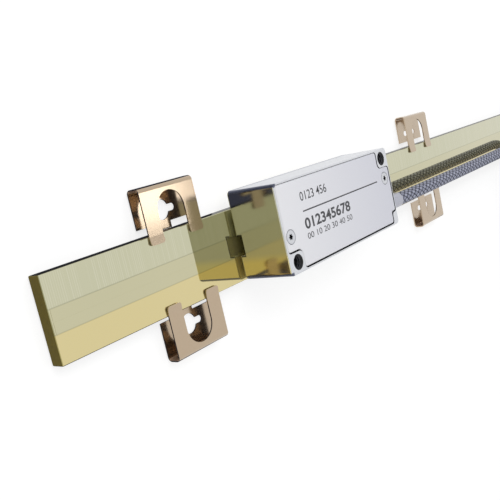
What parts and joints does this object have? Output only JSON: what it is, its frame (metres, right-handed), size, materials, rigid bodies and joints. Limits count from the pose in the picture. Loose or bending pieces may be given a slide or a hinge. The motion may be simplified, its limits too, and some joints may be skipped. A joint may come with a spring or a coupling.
{
  "type": "linear glass scale",
  "caption": "Exposed linear measuring scale: a flat graduated glass strip held by sheet spring clamps, with a sliding box-shaped scanning head on a braided lead with a round plug.",
  "frame": {"origin": "middle of the scale's back face, on the surface that the scale lies on", "axes": "+X along the scale, towards the side where the head's lead leaves; +Y across it, towards the upper clamps; +Z out of the graduated face, towards the head"},
  "size_m": [0.2839, 0.068, 0.0155],
  "materials": {
    "glass": "coated back",
    "track_film": "reflecting film",
    "spring_steel": "bright spring sheet",
    "head_metal": "fine blasted",
    "cover_metal": "fine blasted",
    "gasket_rubber": "matt",
    "screw_steel": "plain",
    "clear_glass": "polished",
    "adhesive": "cured",
    "black_plastic": "matt",
    "board": "solder mask",
    "contact_metal": "plated",
    "sleeve_metal": "satin",
    "core_jacket": "plain",
    "braid": "metal braid",
    "tie_strap": "matt",
    "plug_metal": "nickel"
  },
  "bodies": {
    "scale": {"glass_scale": "glass", "code_track": "track_film", "incremental_track": "track_film", "clamp_left_upper": "spring_steel", "clamp_left_lower": "spring_steel", "clamp_middle_upper": "spring_steel", "clamp_middle_lower": "spring_steel", "clamp_right_upper": "spring_steel", "clamp_right_lower": "spring_steel"},
    "scanning_head": {"head_housing": "head_metal", "head_cover": "cover_metal", "cover_gasket": "gasket_rubber", "cover_screws": "screw_steel", "board_screws": "screw_steel", "scanning_reticle": "clear_glass", "condenser_lens": "clear_glass", "reticle_seal": "adhesive", "optics_block": "black_plastic", "light_source": "black_plastic", "sensor_chip": "black_plastic", "board_components": "black_plastic", "plug_insert": "black_plastic", "sensor_board": "board", "main_board": "board", "board_link": "contact_metal", "plug_pins": "contact_metal", "lead_sleeve": "sleeve_metal", "lead_core": "core_jacket", "signal_wires": "core_jacket", "lead": "braid", "lead_coil": "braid", "lead_tail": "braid", "coil_ties": "tie_strap", "plug_boot": "tie_strap", "plug_nut": "plug_metal", "plug_body": "plug_metal"},
    "coupling_ring": {"coupling_ring": "plug_metal", "ring_seal": "gasket_rubber"}
  },
  "joints": [
    {"name": "head_slide", "type": "slide", "parent": "scale", "child": "scanning_head", "axis": [1, 0, 0], "range_m": [-0.05185, 0.18815]},
    {"name": "coupling_ring_spin", "type": "hinge", "parent": "scanning_head", "child": "coupling_ring", "pos_m": [0.1335, -0.0248, 0.0072], "axis": [1, 0, 0], "continuous": true}
  ]
}
